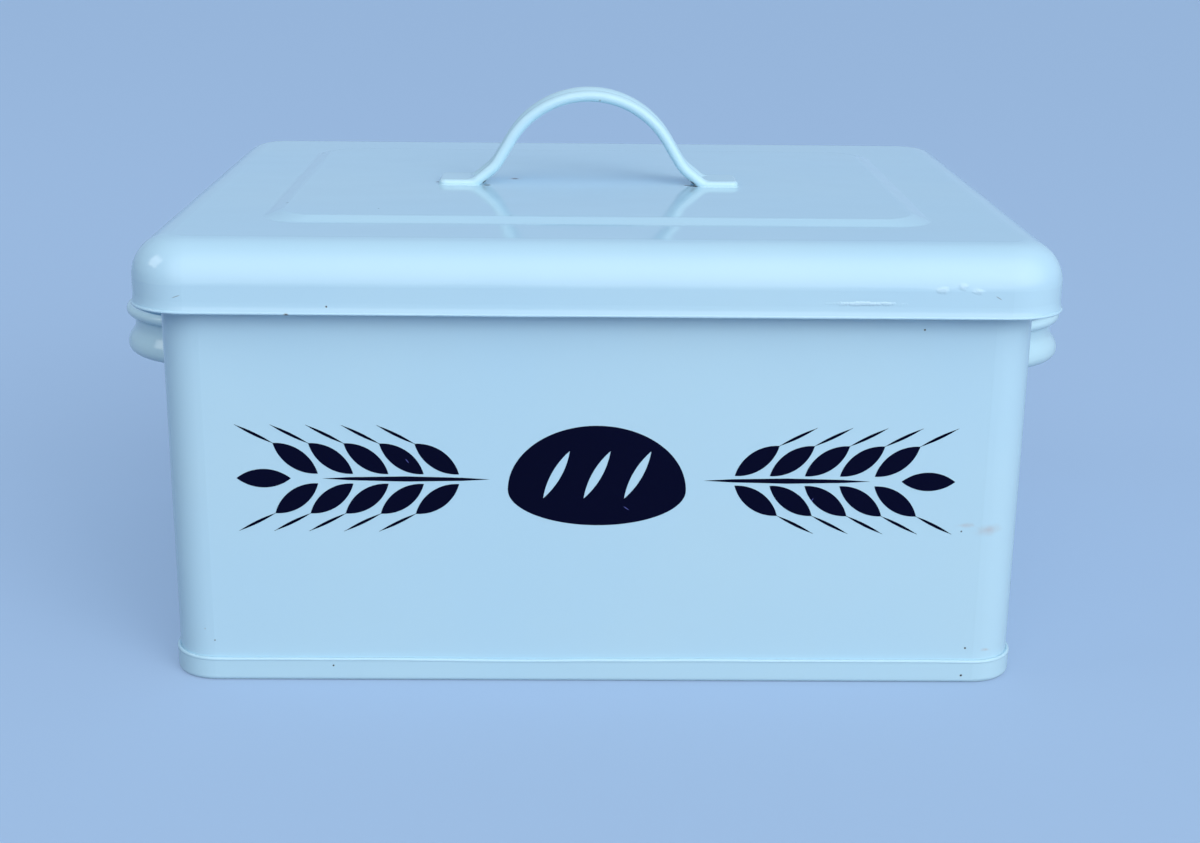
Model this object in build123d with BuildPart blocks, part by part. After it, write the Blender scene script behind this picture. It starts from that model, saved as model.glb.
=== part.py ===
# Bread box of enamelled sheet steel with a lift-off lid.
# Millimetres. The origin is on the ground under the middle of the box: X to the right,
# Y to the back, Z up. The front faces -Y.
import os
from math import cos, radians, sin, sqrt, tan

from build123d import *

os.makedirs("parts", exist_ok=True)

# Sheet steel with its enamel
sheet = 0.9

# Walls
body_width = 320.6
body_depth = 249.7
body_corner = 16.0
body_height = 165.9
rim_radius = 2.75
rim_opening = 70.0
seam_width = 3.0
seam_proud = 0.2

# Bottom pan
flange_height = 8.6
flange_gap = 0.3
foot_gap = 0.3
pan_edge = 1.7
pan_margin = 24.0
pan_rise = 1.5
pan_slope = 5.0

# Lid
lid_overhang = 9.1
lid_corner = 22.0
lid_edge = 15.0
lid_height = 25.3
lid_gap = 0.3
hem_radius = 0.55
hem_proud = 0.6
hem_flare = 4.0
panel_margin = 42.8
panel_rise = 1.8
panel_slope = 6.0
panel_corner = 14.0
panel_round = 4.0

# Strap handles, one on the lid and one on each side wall
strap_sheet = 1.2
strap_width = 20.2
bead_radius = 2.2
groove_depth = 3.3
groove_width = 6.0
roll_radius = 3.5
strap_rise = 38.9
crown_radius = 37.6
leg_angle = 59.0
toe_angle = 39.0
toe_height = 7.5
knee_radius = 18.0
toe_radius = 8.0
tab_thickness = 2.3
tab_length = 13.9
tab_lap = 3.2
tab_round = 3.0
tab_edge = 1.5
side_handle_height = 109.7
# The lid's strap was welded on a little left of the lid's middle and in front of it
lid_handle_left = 3.0
lid_handle_forward = 6.0


def section_plane(path):
    """The plane across the start of a path that runs round the box: x outwards, y up."""
    along = path % 0
    return Plane(path @ 0, x_dir=along.cross(Vector(0, 0, 1)), z_dir=-along)


# Walls: one sheet bent round four corners, its top edge curled outwards into a rim
body_foot = sheet + foot_gap
rim_z = body_height - rim_radius
rim_out = rim_radius - sheet  # centre of the curl, outside the walls
seam_foot = flange_height + flange_gap
with BuildPart() as body_shell:
    with BuildSketch(Plane.XY.offset(body_foot)):
        RectangleRounded(body_width, body_depth, body_corner)
        RectangleRounded(
            body_width - 2 * sheet, body_depth - 2 * sheet, body_corner - sheet, mode=Mode.SUBTRACT
        )
    extrude(amount=rim_z - body_foot)
    # The welded seam shows as a low ridge up the middle of the back, above the pan's flange
    with BuildSketch(Plane.XY.offset(seam_foot)):
        with Locations((0, body_depth / 2)):
            Rectangle(seam_width, 2 * seam_proud)
    extrude(amount=rim_z - rim_radius - seam_foot)
    # The curl runs round the walls from their inner face, over the top and down outside
    with BuildLine(Plane.XY.offset(rim_z)) as rim_path:
        FilletPolyline(
            (body_width / 2, -body_depth / 2),
            (body_width / 2, body_depth / 2),
            (-body_width / 2, body_depth / 2),
            (-body_width / 2, -body_depth / 2),
            radius=body_corner,
            close=True,
        )
    with BuildSketch(section_plane(rim_path.line)):
        with BuildLine():
            CenterArc((rim_out, 0), rim_radius - sheet / 2, 180, rim_opening - 360)
        trace(line_width=sheet)
    sweep(path=rim_path.line)
body_shell.part.label = "body_shell"
export_step(body_shell.part, "parts/body_shell.step")

# Bottom pan: its flange turns up outside the foot of the walls, and the middle of its floor
# is pressed up, so that it stands on a flat band round the edge
pan_width = body_width + 2 * (flange_gap + sheet)
pan_depth = body_depth + 2 * (flange_gap + sheet)
pan_corner = body_corner + flange_gap + sheet
with BuildPart() as base_pan:
    with BuildSketch():
        RectangleRounded(pan_width, pan_depth, pan_corner)
    extrude(amount=flange_height)
    fillet(base_pan.edges().group_by(Axis.Z)[0], radius=pan_edge)
    for height, inset in ((0, pan_margin), (pan_rise, pan_margin + pan_slope)):
        with BuildSketch(Plane.XY.offset(height)):
            RectangleRounded(pan_width - 2 * inset, pan_depth - 2 * inset, pan_corner)
    loft(mode=Mode.SUBTRACT)
    offset(amount=-sheet, openings=base_pan.faces().sort_by(Axis.Z)[-1])
base_pan.part.label = "base_pan"
export_step(base_pan.part, "parts/base_pan.step")


# Lid: its rounded shoulder rests on the rim, from inside, so the rim sets its height
lid_width = body_width + 2 * lid_overhang
lid_depth = body_depth + 2 * lid_overhang
shoulder_out = body_width / 2 + rim_out - (lid_width / 2 - lid_edge)
shoulder_reach = lid_edge - sheet - rim_radius - lid_gap
shoulder_z = rim_z - sqrt(shoulder_reach**2 - shoulder_out**2)
lid_top = shoulder_z + lid_edge
panel_top = lid_top + panel_rise
hem_z = lid_top - lid_height + hem_radius
skirt_z = hem_z + hem_flare
with BuildPart() as lid_shell:
    with BuildSketch(Plane.XY.offset(skirt_z)):
        RectangleRounded(lid_width, lid_depth, lid_corner)
    extrude(amount=lid_top - skirt_z)
    fillet(lid_shell.edges().group_by(Axis.Z)[-1], radius=lid_edge)
    offset(amount=-sheet, openings=lid_shell.faces().sort_by(Axis.Z)[0])
    # The raised panel is pressed up from below: first its outside, then its hollow
    for wall, cut in ((0, Mode.ADD), (sheet, Mode.SUBTRACT)):
        for height, inset in ((lid_top, panel_margin), (panel_top, panel_margin + panel_slope)):
            with BuildSketch(Plane.XY.offset(height - wall)):
                RectangleRounded(lid_width - 2 * inset, lid_depth - 2 * inset, panel_corner)
        loft(mode=cut)
    for height in (panel_top, lid_top):
        brow = lid_shell.edges().filter_by_position(Axis.Z, height, height)
        fillet(brow, radius=panel_round)
    # The hem is the foot of the skirt, flared a little like a trumpet, its edge rolled up tight
    with BuildLine(Plane.XY.offset(hem_z)) as hem_path:
        FilletPolyline(
            (lid_width / 2, -lid_depth / 2),
            (lid_width / 2, lid_depth / 2),
            (-lid_width / 2, lid_depth / 2),
            (-lid_width / 2, -lid_depth / 2),
            radius=lid_corner,
            close=True,
        )
    with BuildSketch(section_plane(hem_path.line)):
        with BuildLine():
            TangentArc((-sheet / 2, hem_flare), (hem_proud - hem_radius, 0), tangent=(0, -1))
        trace(line_width=sheet)
        with Locations((hem_proud - hem_radius, 0)):
            Circle(hem_radius)
    sweep(path=hem_path.line)
lid_shell.part.label = "lid_shell"
export_step(lid_shell.part, "parts/lid_shell.step")


# Strap handles: a ribbed strap with a rolled bead along one edge and an open roll along the
# other, bowed up from two flat tabs. The bead is to the front on the lid and up on the walls.
bead_place = bead_radius - strap_width / 2
groove_line = bead_radius - groove_depth - strap_sheet / 2
groove_end = bead_place + groove_width
roll_line = roll_radius - strap_sheet / 2
roll_place = strap_width / 2 - roll_radius
crown_top = strap_rise - bead_radius
leg_top = (
    crown_radius * sin(radians(leg_angle)),
    crown_top - crown_radius * (1 - cos(radians(leg_angle))),
)
knee = leg_top[0] + (leg_top[1] - toe_height) / tan(radians(leg_angle))
bow_foot = tab_thickness - bead_radius
toe = knee + (toe_height - bow_foot) / tan(radians(toe_angle))
toe_end = toe + toe_radius * tan(radians(toe_angle / 2)) + strap_sheet / 2
tab_middle = toe + (tab_length - tab_lap) / 2

handle_seats = {
    "lid_handle": Plane((-lid_handle_left, -lid_handle_forward, panel_top)),
    "side_handle_left": Plane(
        (-body_width / 2, 0, side_handle_height), x_dir=(0, 1, 0), z_dir=(-1, 0, 0)
    ),
    "side_handle_right": Plane(
        (body_width / 2, 0, side_handle_height), x_dir=(0, -1, 0), z_dir=(1, 0, 0)
    ),
}
for handle_name, seat in handle_seats.items():
    side = Plane(seat.origin, x_dir=seat.x_dir, z_dir=-seat.y_dir)
    with BuildPart() as strap_handle:
        with BuildSketch(seat):
            for end in (-1, 1):
                with Locations((end * tab_middle, 0)):
                    RectangleRounded(tab_length + tab_lap, strap_width, tab_round)
        extrude(amount=tab_thickness)
        fillet(strap_handle.edges().group_by(Axis(seat.origin, seat.z_dir))[-1], radius=tab_edge)
        with BuildLine(side) as bow:
            FilletPolyline(
                (-toe_end, bow_foot),
                (-toe, bow_foot),
                (-knee, toe_height),
                (-leg_top[0], leg_top[1]),
                radius=[toe_radius, knee_radius],
            )
            FilletPolyline(
                leg_top,
                (knee, toe_height),
                (toe, bow_foot),
                (toe_end, bow_foot),
                radius=[knee_radius, toe_radius],
            )
            ThreePointArc((-leg_top[0], leg_top[1]), (0, crown_top), leg_top)
        with BuildSketch(Plane(bow.line @ 0, x_dir=seat.y_dir, z_dir=seat.x_dir)):
            with Locations((bead_place, 0)):
                Circle(bead_radius)
            with BuildLine():
                groove = Line((bead_place, groove_line), (groove_end, groove_line))
                Spline(
                    groove @ 1,
                    (roll_place, bead_radius - strap_sheet / 2),
                    tangents=[(1, 0), (1, 0)],
                )
                CenterArc((roll_place, bead_radius - roll_radius), roll_line, 90, -90)
            trace(line_width=strap_sheet)
        sweep(path=bow.line)
        split(bisect_by=seat, keep=Keep.TOP)
    strap_handle.part.label = handle_name
    export_step(strap_handle.part, f"parts/{handle_name}.step")
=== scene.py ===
from math import cos, radians, sin

import bpy
from mathutils import Matrix, Vector


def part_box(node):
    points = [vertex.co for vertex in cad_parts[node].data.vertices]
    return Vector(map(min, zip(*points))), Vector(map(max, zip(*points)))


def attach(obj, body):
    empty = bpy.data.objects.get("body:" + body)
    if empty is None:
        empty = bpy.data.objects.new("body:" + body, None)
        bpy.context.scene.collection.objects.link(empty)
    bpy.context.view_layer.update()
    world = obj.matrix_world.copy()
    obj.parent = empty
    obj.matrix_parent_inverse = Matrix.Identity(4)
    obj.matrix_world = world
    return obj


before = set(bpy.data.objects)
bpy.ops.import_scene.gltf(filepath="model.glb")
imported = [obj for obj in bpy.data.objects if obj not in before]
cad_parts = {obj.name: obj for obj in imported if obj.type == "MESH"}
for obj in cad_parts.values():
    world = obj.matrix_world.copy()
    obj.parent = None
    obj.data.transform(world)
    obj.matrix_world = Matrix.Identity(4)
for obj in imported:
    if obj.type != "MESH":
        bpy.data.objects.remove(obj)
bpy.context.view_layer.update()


# Walls: one steel sheet bent round four corners, dipped and fired in vitreous enamel. The enamel
# is a glossy ice-white glass that lies in slow waves with a fine peel. It is creamier here and
# there, and has chipped to dark steel or taken a little rust in places.
mm = 0.001


def linear(colour):
    """An sRGB hex colour as the linear RGBA that Blender's sockets take."""
    channels = [int(colour[i : i + 2], 16) / 255 for i in (1, 3, 5)]
    return [c / 12.92 if c <= 0.04045 else ((c + 0.055) / 1.055) ** 2.4 for c in channels] + [1]


def add_node(material, kind, inputs, **settings):
    """Adds a node. An input is a value, or the output of another node to link it to."""
    node = material.node_tree.nodes.new(kind)
    for name, value in settings.items():
        setattr(node, name, value)
    for name, value in inputs.items():
        if isinstance(value, bpy.types.NodeSocket):
            material.node_tree.links.new(value, node.inputs[name])
        else:
            node.inputs[name].default_value = value
    return node


def mark(material, place, size, ragged, soft, turn=(0, 0, 0)):
    """1 inside an oval of half-sizes size at a place on the object, 0 outside it. Its outline
    strays by the share ragged of its size, and its edge fades over the share soft."""
    here = add_node(material, "ShaderNodeTexCoord", {}).outputs["Object"]
    inside = add_node(
        material,
        "ShaderNodeMapping",
        {"Vector": here, "Location": place, "Rotation": turn, "Scale": size},
        vector_type="TEXTURE",
    ).outputs["Vector"]
    away = add_node(material, "ShaderNodeVectorMath", {0: inside}, operation="LENGTH").outputs["Value"]
    stray_length = 2 * min(size)
    stray = add_node(
        material, "ShaderNodeTexNoise", {"Vector": here, "Scale": 1 / stray_length, "Detail": 4}
    ).outputs["Fac"]
    grown = add_node(
        material, "ShaderNodeMath", {0: stray, 1: 2 * ragged, 2: away}, operation="MULTIPLY_ADD"
    ).outputs[0]
    edge = 1 + ragged
    return add_node(
        material,
        "ShaderNodeMapRange",
        {"Value": grown, "From Min": edge, "From Max": edge * (1 - soft)},
        interpolation_type="SMOOTHSTEP",
    ).outputs["Result"]


def tinted(material, colour, tint, mask, strength=1):
    """Lays a tint over a colour, at a strength, where a mask is 1."""
    share = add_node(
        material, "ShaderNodeMath", {0: mask, 1: strength}, operation="MULTIPLY"
    ).outputs[0]
    return add_node(
        material,
        "ShaderNodeMix",
        {"Factor": share, "A": colour, "B": linear(tint)},
        data_type="RGBA",
    ).outputs["Result"]


def enamel(
    name, body_tint, thin_tint, chips_and_painted_shade=(), stains=(), runs=(), scratches=(), scratch_tint="#8b9aa3"
):
    """Fired enamel in two close tints. A chip, or a dark spot of painted shade, is a place and a
    radius; a stain or a run of thick enamel is a place, its half-width and half-height, and a run's
    lighter tint is partly a painted sheen. A scratch is a place, its half-length and its slope."""
    material = bpy.data.materials.new(name)
    material.use_nodes = True
    here = add_node(material, "ShaderNodeTexCoord", {}).outputs["Object"]

    # The tint drifts over a hand's length
    drift_length = 120 * mm
    drift = add_node(
        material, "ShaderNodeTexNoise", {"Vector": here, "Scale": 1 / drift_length, "Detail": 3}
    ).outputs["Fac"]
    colour = tinted(material, linear(body_tint), thin_tint, drift)

    # Pinholes: one in each 40 mm cube, so only a few fall on the sheet, as specks 0.5 mm wide
    cell = 40 * mm
    cells = add_node(material, "ShaderNodeTexVoronoi", {"Vector": here, "Scale": 1 / cell})
    speck_rim, speck_core = 0.44 * mm / cell, 0.24 * mm / cell
    speck = add_node(
        material,
        "ShaderNodeMapRange",
        {"Value": cells.outputs["Distance"], "From Min": speck_rim, "From Max": speck_core},
    ).outputs["Result"]
    colour = tinted(material, colour, "#5d6a70", speck)

    # Each mark is a solid oval in the object's own space, deeper than the sheet where it lies
    for place, half_width, half_height in stains:
        smear = mark(material, place, (half_width, 4 * mm, half_height), ragged=0.8, soft=0.8)
        colour = tinted(material, colour, "#b98d78", smear, strength=0.4)
    scratch_half_width = 0.22 * mm
    for place, half_length, slope in scratches:
        size = (half_length, 2 * mm, scratch_half_width)
        line = mark(material, place, size, ragged=0.2, soft=0.4, turn=(0, slope, 0))
        colour = tinted(material, colour, scratch_tint, line, strength=0.75)

    # A chip is dark bare steel inside a grey rim of broken glass. The same mark, put beside the feet
    # of the lid's strap, also paints the shade under the strap there.
    bare = 0
    for place, radius in chips_and_painted_shade:
        rim = mark(material, place, (1.6 * radius,) * 3, ragged=0.45, soft=0.4)
        core = mark(material, place, (radius,) * 3, ragged=0.45, soft=0.3)
        colour = tinted(material, colour, "#9c9a90", rim, strength=0.6)
        colour = tinted(material, colour, "#2b2a2c", core)
        bare = add_node(material, "ShaderNodeMath", {0: bare, 1: core}, operation="MAXIMUM").outputs[0]

    # The waves are 70 mm long and the peel 4 mm, a little coarser than real, so that it shows
    waves = add_node(
        material, "ShaderNodeTexNoise", {"Vector": here, "Scale": 1 / (70 * mm), "Detail": 2}
    ).outputs["Fac"]
    relief = add_node(
        material, "ShaderNodeBump", {"Height": waves, "Strength": 1, "Distance": 0.5 * mm}
    ).outputs["Normal"]
    peel = add_node(
        material, "ShaderNodeTexNoise", {"Vector": here, "Scale": 1 / (4 * mm), "Detail": 2}
    ).outputs["Fac"]
    layers = [(peel, 0.008 * mm)]
    # A run of thick enamel stands a little proud and is tinted lighter, partly for its thicker glass
    # and partly as a painted sheen of the light it catches.
    for place, half_width, half_height in runs:
        run_and_sheen = mark(material, place, (half_width, 4 * mm, half_height), ragged=0.8, soft=0.5)
        colour = tinted(material, colour, "#dff3fb", run_and_sheen, strength=0.25)
        layers.append((run_and_sheen, 0.2 * mm))
    layers.append((bare, -0.2 * mm))
    for layer, height in layers:
        relief = add_node(
            material,
            "ShaderNodeBump",
            {"Height": layer, "Strength": 1, "Distance": height, "Normal": relief},
        ).outputs["Normal"]

    # Enamel is a glass, glossy all over and slightly duller where the tint is thin
    dullness = add_node(
        material,
        "ShaderNodeMapRange",
        {"Value": drift, "From Min": 0.3, "From Max": 0.7, "To Min": 0.07, "To Max": 0.13},
    ).outputs["Result"]
    shader = material.node_tree.nodes["Principled BSDF"]
    shader.inputs["IOR"].default_value = 1.52
    for name, source in (("Base Color", colour), ("Roughness", dullness), ("Normal", relief)):
        material.node_tree.links.new(source, shader.inputs[name])
    return material


def finish_node(name, material):
    """Gives a solid of the frame its finish."""
    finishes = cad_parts[name].data.materials
    finishes.clear()
    finishes.append(material)


pan_low, pan_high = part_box("base_pan")
flange = 1.2 * mm  # how far the pan's flange stands out from the walls, its sheet and its gap
front = pan_low.y + flange
wall_enamel = enamel(
    "wall_enamel",
    "#b5dbf0",
    "#bfdfeb",
    chips_and_painted_shade=[
        ((-0.1478, front, 0.0206), 0.4 * mm),
        ((-0.1442, front, 0.0161), 0.25 * mm),
        ((0.1412, front, 0.0141), 0.4 * mm),
        ((0.1181, front, 0.1390), 0.35 * mm),
    ],
    stains=[
        ((0.1470, front, 0.0620), 7.0 * mm, 3.2 * mm),
        ((0.1380, front, 0.0640), 4.0 * mm, 1.4 * mm),
        ((0.1495, front, 0.0132), 3.0 * mm, 0.9 * mm),
    ],
    scratches=[
        ((-0.1545, front, 0.1389), 2.2 * mm, radians(58)),
        ((-0.1534, front, 0.1330), 1.6 * mm, radians(50)),
    ],
)
finish_node("body_shell", wall_enamel)


# Bottom pan: pressed from the same sheet, its flange drawn up round the foot of the walls and
# fired on with them. The enamel gathered in a soft wavering bead where the flange ends.
def enamel_bead(name, size, corner, place, radius, waver, body, material):
    """A wavering bead of enamel round a rectangle with round corners, made flat and then placed."""
    bpy.ops.object.select_all(action="DESELECT")
    bpy.ops.mesh.primitive_plane_add(size=1)
    bead = bpy.context.object
    bead.scale = (*size, 1)
    bpy.ops.object.transform_apply(scale=True)
    bpy.ops.object.mode_set(mode="EDIT")
    bpy.ops.mesh.bevel(offset=corner, segments=10, affect="VERTICES")
    bpy.ops.mesh.delete(type="ONLY_FACE")

    # The straight sides are halved, six times at most, until a point comes every 6 mm
    for _ in range(6):
        bpy.ops.mesh.select_all(action="DESELECT")
        bpy.ops.object.mode_set(mode="OBJECT")
        for edge in bead.data.edges:
            first, second = (bead.data.vertices[v].co for v in edge.vertices)
            edge.select = (first - second).length > 6 * mm
        bpy.ops.object.mode_set(mode="EDIT")
        bpy.ops.mesh.subdivide(number_cuts=1)
    bpy.ops.object.mode_set(mode="OBJECT")

    ripple = bpy.data.textures.new(name + "_ripple", "CLOUDS")
    ripple.noise_scale = 60 * mm
    lift = bead.modifiers.new("lift", "DISPLACE")
    lift.texture = ripple
    lift.direction = "Z"
    lift.strength = waver
    bpy.ops.object.modifier_apply(modifier="lift")
    bpy.ops.object.convert(target="CURVE")
    bead = bpy.context.object
    bead.data.bevel_depth = radius
    bead.data.bevel_resolution = 4
    bpy.ops.object.convert(target="MESH")
    bead = bpy.context.object
    bead.name = name
    bead.matrix_world = place
    bpy.ops.object.transform_apply()
    bpy.ops.object.shade_smooth()
    bead.data.materials.clear()
    bead.data.materials.append(material)
    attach(bead, body)
    return bead


pan_enamel = enamel(
    "pan_enamel",
    "#b5dbee",
    "#bfdfea",
    chips_and_painted_shade=[
        ((-0.0995, pan_low.y, 0.0064), 0.35 * mm),
        ((0.1401, pan_low.y, 0.0033), 0.45 * mm),
    ],
)
finish_node("base_pan", pan_enamel)
flange_bead = enamel_bead(
    "flange_bead",
    size=(pan_high.x - pan_low.x - flange, pan_high.y - pan_low.y - flange),
    corner=16.6 * mm,
    place=Matrix.Translation((0, 0, pan_high.z)),
    radius=0.8 * mm,
    waver=0.9 * mm,
    body="box",
    material=pan_enamel,
)


# Strap handles: steel strap with a bead rolled along one edge, bowed and welded on by its two
# tabs, then enamelled with the box. Their thicker enamel is a little creamier, and it runs out
# round each tab in a thin fillet.
handle_enamel = enamel(
    "handle_enamel",
    "#badeee",
    "#c3e2ea",
    chips_and_painted_shade=[
        ((0.0012, -0.0160, 0.2068), 0.6 * mm),
        ((-0.0322, -0.0160, 0.1906), 0.7 * mm),
        # These two, at the strap's feet, are bare steel and also painted shade under the strap.
        ((-0.0462, -0.0139, 0.1732), 1.1 * mm),
        ((0.0400, -0.0139, 0.1734), 1.3 * mm),
    ],
)
tab_length, tab_width = 17.1 * mm, 20.2 * mm
lengthways = Matrix.Rotation(radians(90), 4, "Z")
for strap, body, turn in (
    ("lid_handle", "lid", Matrix.Identity(4)),
    ("side_handle_left", "box", Matrix.Rotation(radians(-90), 4, "Y") @ lengthways),
    ("side_handle_right", "box", Matrix.Rotation(radians(90), 4, "Y") @ lengthways),
):
    finish_node(strap, handle_enamel)
    strap_low, strap_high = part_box(strap)
    outwards = turn @ Vector((0, 0, 1))
    along = turn @ Vector((1, 0, 0))
    across = strap_high - strap_low
    seat = (strap_low + strap_high) / 2 - outwards * abs(across.dot(outwards)) / 2
    reach = abs(across.dot(along)) / 2 - tab_length / 2
    for end, which in ((-1, "first"), (1, "second")):
        fillet = enamel_bead(
            f"{strap}_{which}_tab_fillet",
            size=(tab_length, tab_width),
            corner=3 * mm,
            place=Matrix.Translation(seat + along * end * reach) @ turn,
            radius=0.35 * mm,
            waver=0.1 * mm,
            body=body,
            material=handle_enamel,
        )


# Print on the front wall: a loaf between two ears of wheat, a plain bakery pattern in navy
# enamel. It is stencilled on and fired nearly flush, a film 0.1 mm thick with gaps between its
# shapes, a little duller than the glass around it and lightly scratched.
print_film = 0.1 * mm
film_middle = front - 0.03 * mm  # the film sinks 0.02 mm into the wall
print_height = 81 * mm
print_enamel = enamel(
    "navy_print_enamel",
    "#02021c",
    "#040526",
    scratches=[
        ((-0.1105, front, 0.0790), 3.5 * mm, radians(-24)),
        ((-0.0700, front, 0.0880), 1.2 * mm, radians(52)),
        ((0.0110, front, 0.0700), 1.5 * mm, radians(35)),
        ((0.0800, front, 0.0735), 1.3 * mm, radians(-60)),
    ],
    scratch_tint="#5b61a8",
)
print_enamel.node_tree.nodes["Principled BSDF"].inputs["Specular IOR Level"].default_value = 0.07


def almond(length, width):
    """A flat pointed oval that lies along X, two mirrored pieces of a circle."""
    bpy.ops.object.select_all(action="DESELECT")
    radius = (length**2 + width**2) / (4 * width)
    bpy.ops.mesh.primitive_circle_add(
        vertices=160, radius=radius, fill_type="NGON", location=(0, width / 2 - radius, 0)
    )
    shape = bpy.context.object
    bpy.ops.object.transform_apply()
    bpy.ops.object.mode_set(mode="EDIT")
    bpy.ops.mesh.select_all(action="SELECT")
    bpy.ops.mesh.bisect(plane_co=(0, 0, 0), plane_no=(0, 1, 0), clear_inner=True)
    bpy.ops.object.mode_set(mode="OBJECT")
    mirror = shape.modifiers.new("other_half", "MIRROR")
    mirror.use_axis = (False, True, False)
    mirror.merge_threshold = 0.001 * mm
    bpy.ops.object.modifier_apply(modifier="other_half")
    bpy.ops.object.mode_set(mode="EDIT")
    bpy.ops.mesh.select_all(action="SELECT")
    bpy.ops.mesh.dissolve_limited(angle_limit=radians(0.1))
    bpy.ops.mesh.normals_make_consistent(inside=False)
    bpy.ops.object.mode_set(mode="OBJECT")
    return shape


def copied(shape, x, y, turn):
    """A copy of a flat shape, turned about its own middle and moved."""
    copy = shape.copy()
    copy.data = shape.data.copy()
    bpy.context.collection.objects.link(copy)
    copy.matrix_world = Matrix.Translation((x, y, 0)) @ Matrix.Rotation(turn, 4, "Z")
    return copy


def thickened(shape, thickness):
    """Gives a flat shape its thickness, on both sides of its plane."""
    bpy.context.view_layer.objects.active = shape
    film = shape.modifiers.new("film", "SOLIDIFY")
    film.thickness = thickness
    film.offset = 0
    bpy.ops.object.modifier_apply(modifier="film")


def fire_on(name, film, height):
    """Stands a film up on the front wall, its middle at a height."""
    bpy.ops.object.select_all(action="DESELECT")
    film.select_set(True)
    bpy.context.view_layer.objects.active = film
    film.name = name
    place = Matrix.Translation((0, film_middle, height))
    film.matrix_world = place @ Matrix.Rotation(radians(90), 4, "X")
    bpy.ops.object.transform_apply()
    film.data.materials.clear()
    film.data.materials.append(print_enamel)
    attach(film, "box")


# The loaf: a round whose lower half is squashed flat, with three slashes cut through it
loaf_half_length, loaf_rise = 33 * mm, 25 * mm
loaf_belly = 0.55  # the lower half's height as a share of the upper half's
loaf_drop = 4 * mm
bpy.ops.object.select_all(action="DESELECT")
bpy.ops.mesh.primitive_circle_add(vertices=128, radius=1, fill_type="NGON")
loaf = bpy.context.object
loaf.scale = (loaf_half_length, loaf_rise, 1)
bpy.ops.object.transform_apply(scale=True)
bpy.ops.object.mode_set(mode="EDIT")
bpy.ops.mesh.select_all(action="DESELECT")
bpy.ops.object.mode_set(mode="OBJECT")
for vertex in loaf.data.vertices:
    vertex.select = vertex.co.y < -0.01 * mm
bpy.ops.object.mode_set(mode="EDIT")
bpy.ops.transform.resize(value=(1, loaf_belly, 1), center_override=(0, 0, 0))
bpy.ops.object.mode_set(mode="OBJECT")
thickened(loaf, print_film)

slash_step, slash_lift, slash_lean = 15 * mm, 6 * mm, radians(62)
slash = almond(21 * mm, 3.6 * mm)
for step in (-1, 0, 1):
    cutter = copied(slash, step * slash_step, slash_lift, slash_lean)
    thickened(cutter, 10 * print_film)
    cut = loaf.modifiers.new("slash", "BOOLEAN")
    cut.object = cutter
    cut.operation = "DIFFERENCE"
    bpy.context.view_layer.objects.active = loaf
    bpy.ops.object.modifier_apply(modifier="slash")
    bpy.data.objects.remove(cutter)
fire_on("print_loaf", loaf, print_height - loaf_drop)

# The ears: pairs of kernels, each with its awn, along a thin stalk that starts beside the loaf.
# Distances run outwards from the middle of the wall
kernel_length, kernel_width, kernel_lean = 20 * mm, 7.2 * mm, radians(36)
awn_length, awn_width, awn_lean = 15 * mm, 1.1 * mm, radians(27)
stalk_start, stalk_width, beside_stalk = 38 * mm, 2 * mm, 1.9 * mm
pairs, pair_step, first_pair = 5, 13 * mm, 51 * mm
last_pair = first_pair + (pairs - 1) * pair_step
tip = last_pair + 20 * mm
kernel = almond(kernel_length, kernel_width)
awn = almond(awn_length, awn_width)
stalk = almond(last_pair - stalk_start, stalk_width)
for side, name in ((-1, "print_wheat_left"), (1, "print_wheat_right")):
    shapes = [copied(stalk, side * (stalk_start + last_pair) / 2, 0, 0)]
    for pair in range(pairs):
        foot = first_pair + pair * pair_step
        for up in (-1, 1):
            x = foot + cos(kernel_lean) * kernel_length / 2
            y = beside_stalk + sin(kernel_lean) * kernel_length / 2
            shapes.append(copied(kernel, side * x, up * y, side * up * kernel_lean))
            x = foot + cos(kernel_lean) * kernel_length + cos(awn_lean) * awn_length / 2
            y = beside_stalk + sin(kernel_lean) * kernel_length + sin(awn_lean) * awn_length / 2
            shapes.append(copied(awn, side * x, up * y, side * up * awn_lean))
    shapes.append(copied(kernel, side * tip, 0, 0))
    bpy.ops.object.select_all(action="DESELECT")
    for shape in shapes:
        shape.select_set(True)
    ear = shapes[0]
    bpy.context.view_layer.objects.active = ear
    bpy.ops.object.join()
    bpy.ops.object.transform_apply()
    thickened(ear, print_film)
    fire_on(name, ear, print_height)
for pattern in (slash, kernel, awn, stalk):
    bpy.data.objects.remove(pattern)


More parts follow.
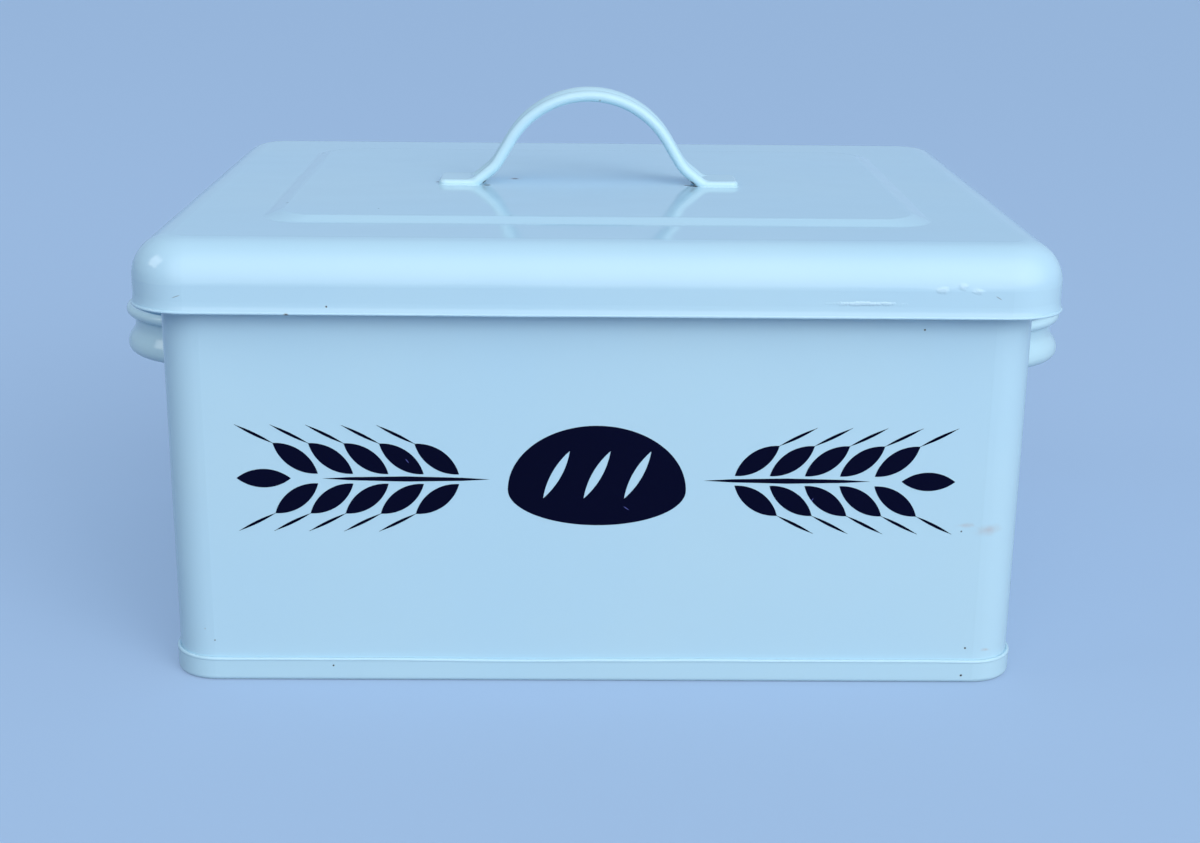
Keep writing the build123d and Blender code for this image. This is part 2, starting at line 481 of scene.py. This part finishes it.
# Lid: one deep pressing of the same steel with a raised panel, its edge flared and rolled up
# into a hem. It is enamelled like the box, and the enamel ran down and gathered along the hem.
lid_low, lid_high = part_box("lid_shell")
skirt = lid_low.y + 0.4 * mm
panel = lid_high.z
lid_enamel = enamel(
    "lid_enamel",
    "#b5dbf0",
    "#bfdfeb",
    chips_and_painted_shade=[
        ((-0.1108, lid_low.y, 0.1449), 0.8 * mm),
        ((-0.0966, skirt, 0.1482), 0.4 * mm),
        ((-0.1205, -0.0600, panel), 0.5 * mm),
        ((-0.0340, 0.0015, panel), 1.4 * mm),
        ((-0.0655, -0.0080, panel), 0.9 * mm),
        # These three, beside the strap's feet, are bare steel and also painted shade under the strap.
        ((-0.0450, -0.0150, panel), 1.4 * mm),
        ((0.0405, -0.0138, panel), 1.7 * mm),
        ((0.0378, -0.0120, panel), 1.1 * mm),
    ],
    stains=[((-0.0345, 0.0015, panel), 5.0 * mm, 4.0 * mm)],
    # Runs of thick enamel on the right of the skirt. Their lighter tint is partly a painted sheen.
    runs=[
        ((0.1215, skirt, 0.1556), 3.0 * mm, 1.7 * mm),
        ((0.1290, skirt, 0.1570), 2.2 * mm, 1.8 * mm),
        ((0.1347, skirt, 0.1552), 2.6 * mm, 1.3 * mm),
        ((0.0950, skirt, 0.1506), 16.0 * mm, 0.9 * mm),
    ],
    scratches=[
        ((-0.1600, skirt + 2 * mm, 0.1528), 1.7 * mm, radians(62)),
        ((-0.1496, skirt, 0.1514), 2.0 * mm, radians(-20)),
        ((0.1420, skirt, 0.1530), 1.6 * mm, radians(30)),
    ],
)
finish_node("lid_shell", lid_enamel)
hem_thick = 1.2 * mm
hem_bead = enamel_bead(
    "hem_bead",
    size=(lid_high.x - lid_low.x - hem_thick, lid_high.y - lid_low.y - hem_thick),
    corner=21 * mm,
    place=Matrix.Translation((0, 0, lid_low.z + hem_thick / 2)),
    radius=hem_thick / 2,
    waver=0.4 * mm,
    body="lid",
    material=lid_enamel,
)


# Camera: where the photograph was taken from, 76 cm in front of the middle of the box and 30 cm
# above what it stands on. It looks down, a touch to the right, and isn't quite level.
camera = bpy.data.objects.new("camera", bpy.data.cameras.new("camera"))
bpy.context.scene.collection.objects.link(camera)
camera.data.sensor_width = 36
camera.data.lens = 54.63
camera.location = (-0.00966, -0.76344, 0.29707)
turned_right = radians(0.945)
looks_down = radians(16.85)
leans = radians(0.628)
camera.rotation_euler = (
    Matrix.Rotation(-turned_right, 3, "Z")
    @ Matrix.Rotation(radians(90) - looks_down, 3, "X")
    @ Matrix.Rotation(leans, 3, "Z")
).to_euler()
bpy.context.scene.camera = camera


# Floor: pale blue studio paper, rolled out flat. Where it is looked at it is evenly pale and keeps
# the box's shadow, and the light that it throws back up at the box is that of a darker paper.
def seen_directly(material):
    """1 where the camera looks, straight, by a reflection or through glass."""
    path = add_node(material, "ShaderNodeLightPath", {})
    seen = path.outputs["Is Camera Ray"]
    for ray in ("Is Glossy Ray", "Is Transmission Ray"):
        seen = add_node(
            material, "ShaderNodeMath", {0: seen, 1: path.outputs[ray]}, operation="MAXIMUM"
        ).outputs[0]
    return seen


paper_tint, shaded_paper_tint = "#a9c6e7", "#5d7696"
even_share = 0.35
paper = bpy.data.materials.new("pale_blue_paper")
paper.use_nodes = True
looked_at = seen_directly(paper)
matt = paper.node_tree.nodes["Principled BSDF"]
matt.inputs["Roughness"].default_value = 0.9
sheet_tint = tinted(paper, linear(shaded_paper_tint), paper_tint, looked_at)
paper.node_tree.links.new(sheet_tint, matt.inputs["Base Color"])
even = add_node(paper, "ShaderNodeEmission", {"Color": linear(paper_tint), "Strength": 1})
share = add_node(
    paper, "ShaderNodeMath", {0: looked_at, 1: even_share}, operation="MULTIPLY"
).outputs[0]
mixed = add_node(
    paper, "ShaderNodeMixShader", {0: share, 1: matt.outputs[0], 2: even.outputs[0]}
).outputs[0]
paper.node_tree.links.new(mixed, paper.node_tree.nodes["Material Output"].inputs["Surface"])
bpy.ops.mesh.primitive_plane_add(size=100, location=(0, 0, 0))
floor = bpy.context.object
floor.name = "floor"
floor.data.materials.append(paper)


# Lights: a soft sky, brightest in front and above, in a room of the same paper that gives more
# light from behind than from the front. A soft box on the right only lights the box, and one on
# the left also draws the gloss of its corners.
sky_tint = "#f4f8fc"
brightest = Vector((0.3, -0.85, 0.48)).normalized()
sky_edge = 0.45  # the cosine, to the brightest direction, where the sky ends
sky_peak = 2.0
front_fill, back_fill = 0.15, 1.3
room = bpy.data.worlds.new("studio")
bpy.context.scene.world = room
room.use_nodes = True
direction = add_node(room, "ShaderNodeTexCoord", {}).outputs["Generated"]
facing = add_node(
    room, "ShaderNodeVectorMath", {0: direction, 1: brightest}, operation="DOT_PRODUCT"
).outputs["Value"]
sky_strength = add_node(
    room, "ShaderNodeMapRange", {"Value": facing, "From Min": sky_edge, "To Max": sky_peak}
).outputs["Result"]
camera_ray = add_node(room, "ShaderNodeLightPath", {}).outputs["Is Camera Ray"]
unseen = add_node(room, "ShaderNodeMath", {0: 1, 1: camera_ray}, operation="SUBTRACT").outputs[0]
sky_strength = add_node(
    room, "ShaderNodeMath", {0: sky_strength, 1: unseen}, operation="MULTIPLY"
).outputs[0]
towards_back = add_node(room, "ShaderNodeSeparateXYZ", {"Vector": direction}).outputs["Y"]
fill = add_node(
    room, "ShaderNodeMapRange", {"Value": towards_back, "To Min": front_fill, "To Max": back_fill}
).outputs["Result"]
surround_strength = add_node(
    room, "ShaderNodeMapRange", {"Value": seen_directly(room), "To Min": fill, "To Max": 1}
).outputs["Result"]
sky = room.node_tree.nodes["Background"]
sky.inputs["Color"].default_value = linear(sky_tint)
room.node_tree.links.new(sky_strength, sky.inputs["Strength"])
surround = add_node(
    room, "ShaderNodeBackground", {"Color": linear(paper_tint), "Strength": surround_strength}
)
both = add_node(room, "ShaderNodeAddShader", {0: sky.outputs[0], 1: surround.outputs[0]}).outputs[0]
room.node_tree.links.new(both, room.node_tree.nodes["World Output"].inputs["Surface"])
for name, width, power, place, mirrored in (
    ("right_light", 1.0, 13, (1.1, -1.7, 0.95), False),
    ("gloss_light", 0.9, 6, (-2.0, -0.4, 1.4), True),
):
    lamp = bpy.data.objects.new(name, bpy.data.lights.new(name, "AREA"))
    bpy.context.scene.collection.objects.link(lamp)
    lamp.data.size = width
    lamp.data.energy = power
    lamp.location = place
    lamp.rotation_euler = (-lamp.location).to_track_quat("-Z", "Y").to_euler()
    lamp.visible_glossy = mirrored
bpy.context.scene.view_settings.view_transform = "Standard"
